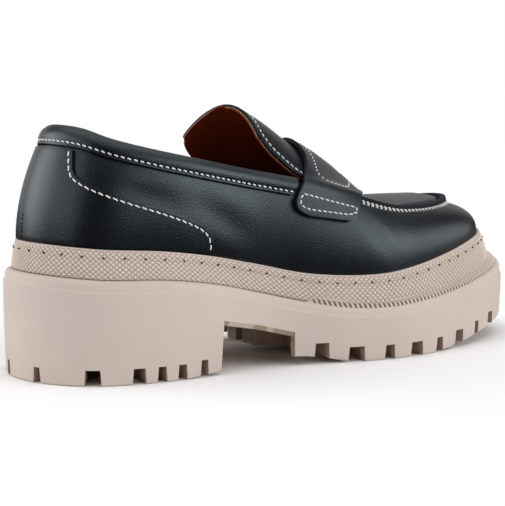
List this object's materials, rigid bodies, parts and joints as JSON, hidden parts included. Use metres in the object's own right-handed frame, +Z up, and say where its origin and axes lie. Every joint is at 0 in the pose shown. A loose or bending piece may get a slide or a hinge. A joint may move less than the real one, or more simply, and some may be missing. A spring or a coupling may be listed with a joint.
{
  "type": "platform loafer",
  "caption": "Right slip-on loafer with a leather upper, saddle strap, tongue and moccasin apron on a thick lugged rubber platform sole with a block heel.",
  "frame": {"origin": "on the floor, under the middle of the shoe's bounding box", "axes": "+X towards the toe, +Y towards the inner side of the foot, +Z up"},
  "size_m": [0.269, 0.104, 0.1149],
  "materials": {
    "rubber": "matte moulded rubber, knurled along the welt",
    "leather": "smooth satin leather with a fine grain",
    "lining": "matte lining leather"
  },
  "bodies": {
    "root": {"outsole": "rubber", "welt": "rubber", "insole": "lining", "upper": "leather", "tongue": "leather", "strap": "leather", "binding": "leather", "counter": "leather", "apron_seam": "leather"}
  },
  "joints": []
}
